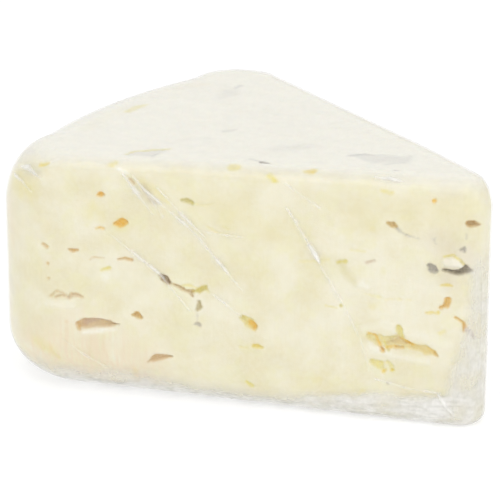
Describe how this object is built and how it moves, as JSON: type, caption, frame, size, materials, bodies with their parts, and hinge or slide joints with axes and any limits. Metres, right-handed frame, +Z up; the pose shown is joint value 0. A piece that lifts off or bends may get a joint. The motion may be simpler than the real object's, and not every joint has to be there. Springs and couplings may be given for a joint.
{
  "type": "cheese wedge",
  "caption": "Wedge of soft blue-veined cheese with rounded edges, wrapped tight in clear stretch film.",
  "frame": {"origin": "centre of the wrapped wedge's bounding box at its base", "axes": "+X towards the wedge's thin tip, -X towards the rind side, +Z up from the base; one cut face looks towards -Y and the other towards +Y"},
  "size_m": [0.13, 0.1008, 0.067],
  "materials": {
    "cheese": "moist and soft, with holes and blue-green mould",
    "film": "clear and glossy, milky where it is gathered"
  },
  "bodies": {
    "root": {"cheese": "cheese", "film_wrap": "film"}
  },
  "joints": []
}
